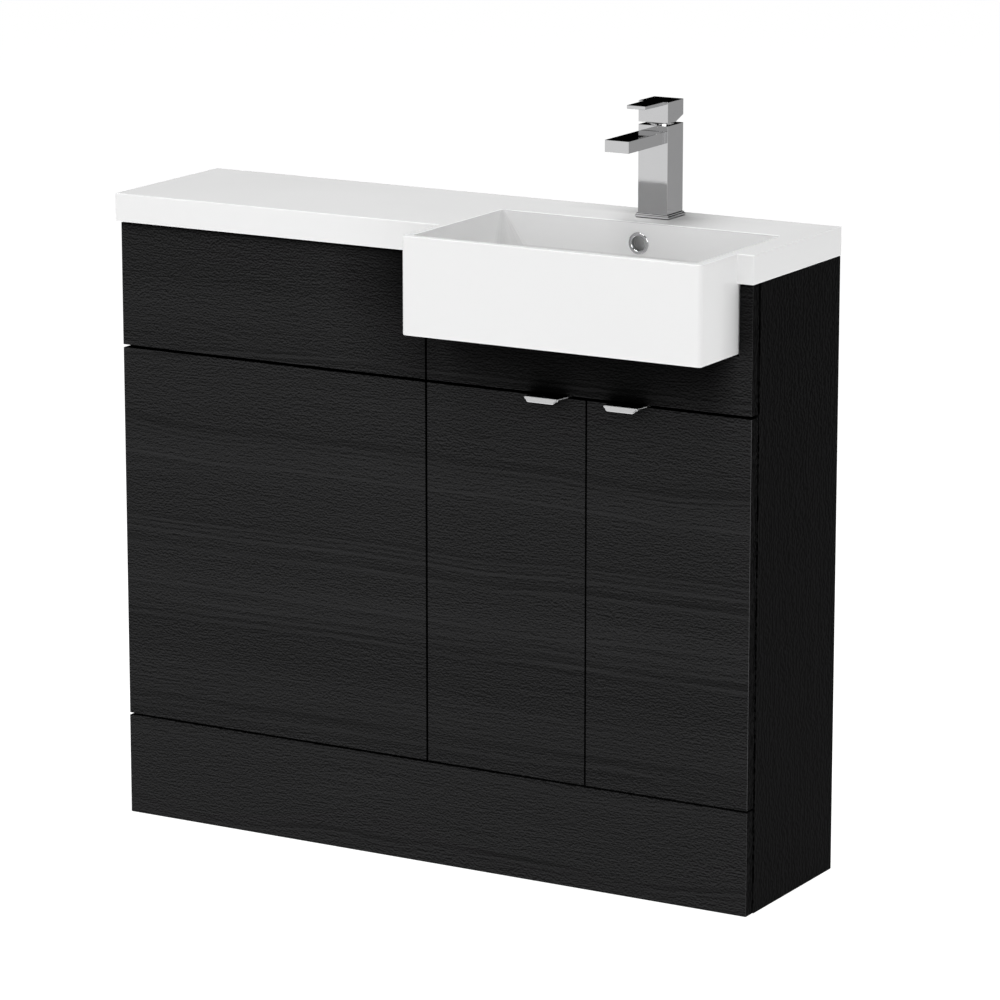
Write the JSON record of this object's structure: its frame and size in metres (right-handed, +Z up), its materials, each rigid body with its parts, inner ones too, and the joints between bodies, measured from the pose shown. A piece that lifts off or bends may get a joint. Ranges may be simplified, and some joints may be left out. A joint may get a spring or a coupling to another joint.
{
  "type": "vanity unit with basin",
  "caption": "Slim charcoal woodgrain vanity cabinet with a semi-recessed white basin and a mixer tap, joined to a matching fascia cabinet for a concealed cistern.",
  "frame": {"origin": "on the floor, under the middle of the whole object's box", "axes": "+X along the unit towards the basin end, +Y towards the wall, +Z up; the fronts face -Y"},
  "size_m": [1.0066, 0.36, 1.0643],
  "materials": {
    "charcoal_woodgrain": "matt embossed foil on board",
    "gloss_white": "cast mineral resin with a gloss white coat",
    "chrome": "polished",
    "steel": "plated",
    "brass": "plain",
    "black_plastic": "matt",
    "rubber": "matt",
    "beech": "plain"
  },
  "bodies": {
    "cabinet": {"wc_side_left": "charcoal_woodgrain", "wc_side_right": "charcoal_woodgrain", "wc_back_rail": "charcoal_woodgrain", "wc_top_rail": "charcoal_woodgrain", "wc_mid_rail": "charcoal_woodgrain", "wc_base_rail": "charcoal_woodgrain", "wc_upper_fascia": "charcoal_woodgrain", "wc_lower_fascia": "charcoal_woodgrain", "wc_dowels": "beech", "vanity_side_left": "charcoal_woodgrain", "vanity_side_right": "charcoal_woodgrain", "base_panel": "charcoal_woodgrain", "back_panel": "charcoal_woodgrain", "vanity_back_rail": "charcoal_woodgrain", "vanity_front_rail": "charcoal_woodgrain", "vanity_upper_fascia": "charcoal_woodgrain", "shelf": "charcoal_woodgrain", "shelf_pins": "steel", "vanity_dowels": "beech", "fascia_clips": "black_plastic", "plinth_panel": "charcoal_woodgrain", "cabinet_connectors": "steel", "connector_bolts": "steel", "hinge_plates": "steel", "hinge_plate_screws": "steel", "hinge_arms": "steel", "hinge_arm_pins": "steel", "basin_worktop": "gloss_white", "overflow_ring": "chrome", "waste_body": "chrome", "waste_flange_seal": "rubber", "waste_cone_washer": "rubber", "waste_backnut": "brass", "tap_body": "chrome", "tap_base": "chrome", "tap_base_seal": "rubber", "tap_shank": "brass", "tap_backnut": "brass", "tap_aerator": "chrome", "tap_cartridge": "black_plastic", "cartridge_collar": "chrome"},
    "hinge_link_left": {"hinge_links_left": "steel"},
    "door_left": {"door_left": "charcoal_woodgrain", "handle_left": "chrome", "handle_screws_left": "steel", "door_buffers_left": "rubber", "hinge_cups_left": "steel", "hinge_cup_pins_left": "steel"},
    "hinge_link_right": {"hinge_links_right": "steel"},
    "door_right": {"door_right": "charcoal_woodgrain", "handle_right": "chrome", "handle_screws_right": "steel", "door_buffers_right": "rubber", "hinge_cups_right": "steel", "hinge_cup_pins_right": "steel"},
    "tap_swivel": {"tap_spindle": "steel"},
    "tap_lever": {"lever_head": "chrome", "lever_pin": "steel", "lever_grub_screw": "steel"},
    "waste_plug": {"waste_plug": "chrome"}
  },
  "joints": [
    {"name": "left_link_swing", "type": "hinge", "parent": "cabinet", "child": "hinge_link_left", "pos_m": [0.03575, -0.059, 0.41575], "axis": [0, 0, 1], "range_deg": [0, 57]},
    {"name": "left_door_swing", "type": "hinge", "parent": "hinge_link_left", "child": "door_left", "pos_m": [0.01075, -0.061, 0.41575], "axis": [0, 0, 1], "range_deg": [-152, 0]},
    {"name": "right_link_swing", "type": "hinge", "parent": "cabinet", "child": "hinge_link_right", "pos_m": [0.46775, -0.059, 0.41575], "axis": [0, 0, 1], "range_deg": [-57, 0]},
    {"name": "right_door_swing", "type": "hinge", "parent": "hinge_link_right", "child": "door_right", "pos_m": [0.49275, -0.061, 0.41575], "axis": [0, 0, 1], "range_deg": [0, 152]},
    {"name": "tap_swivel_turn", "type": "hinge", "parent": "cabinet", "child": "tap_swivel", "pos_m": [0.25175, 0.131, 1.02], "axis": [0, 0, 1], "range_deg": [-45, 45]},
    {"name": "tap_lever_lift", "type": "hinge", "parent": "tap_swivel", "child": "tap_lever", "pos_m": [0.25175, 0.131, 1.04], "axis": [-1, 0, 0], "range_deg": [0, 22]},
    {"name": "waste_plug_lift", "type": "slide", "parent": "cabinet", "child": "waste_plug", "axis": [0, 0, 1], "range_m": [0, 0.008]}
  ],
  "couplings": [
    {"joint": "left_link_swing", "follows": "left_door_swing", "ratio": -0.375},
    {"joint": "right_link_swing", "follows": "right_door_swing", "ratio": -0.375}
  ]
}
